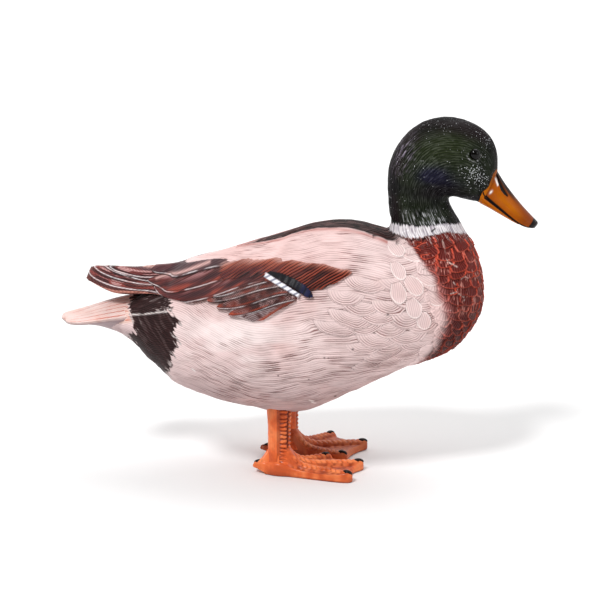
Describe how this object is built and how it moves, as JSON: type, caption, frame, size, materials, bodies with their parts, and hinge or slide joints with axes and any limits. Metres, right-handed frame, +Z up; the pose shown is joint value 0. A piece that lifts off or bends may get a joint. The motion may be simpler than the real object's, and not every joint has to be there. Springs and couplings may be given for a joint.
{
  "type": "mallard duck statue",
  "caption": "Life-size painted resin statue of a mallard drake, standing on both webbed feet with its head turned down and its wings folded.",
  "frame": {"origin": "on the floor, midway between bill tip and tail tip and midway between the flanks", "axes": "+X forward, towards the bill; +Y towards the duck's left; +Z up"},
  "size_m": [0.3878, 0.148, 0.2899],
  "materials": {
    "pale_paint": "hand-painted resin, satin clear coat",
    "charcoal_paint": "hand-painted resin, satin clear coat",
    "black_paint": "gloss black paint",
    "chestnut_paint": "hand-painted resin, glossy clear coat",
    "white_paint": "brushed white paint, satin",
    "green_paint": "very dark green paint, glossy clear coat",
    "tail_paint": "cream paint with fine orange-red lines, satin",
    "wing_paint": "brown, black and white brushwork, satin",
    "bill_paint": "amber paint, glossy",
    "eye_bead": "gloss black bead",
    "leg_paint": "orange paint with a dark wash, satin"
  },
  "bodies": {
    "root": {"back": "charcoal_paint", "belly": "pale_paint", "bill_lower": "bill_paint", "bill_nail": "black_paint", "bill_upper": "bill_paint", "breast": "chestnut_paint", "claw_left_hind": "black_paint", "claw_left_inner": "black_paint", "claw_left_middle": "black_paint", "claw_left_outer": "black_paint", "claw_right_hind": "black_paint", "claw_right_inner": "black_paint", "claw_right_middle": "black_paint", "claw_right_outer": "black_paint", "eye_left": "eye_bead", "eye_right": "eye_bead", "foot_left": "leg_paint", "foot_right": "leg_paint", "head": "green_paint", "leg_left": "leg_paint", "leg_right": "leg_paint", "neck": "green_paint", "neck_ring": "white_paint", "primaries_left": "wing_paint", "primaries_right": "wing_paint", "rump": "black_paint", "tail": "tail_paint", "wing_left": "wing_paint", "wing_right": "wing_paint"}
  },
  "joints": []
}
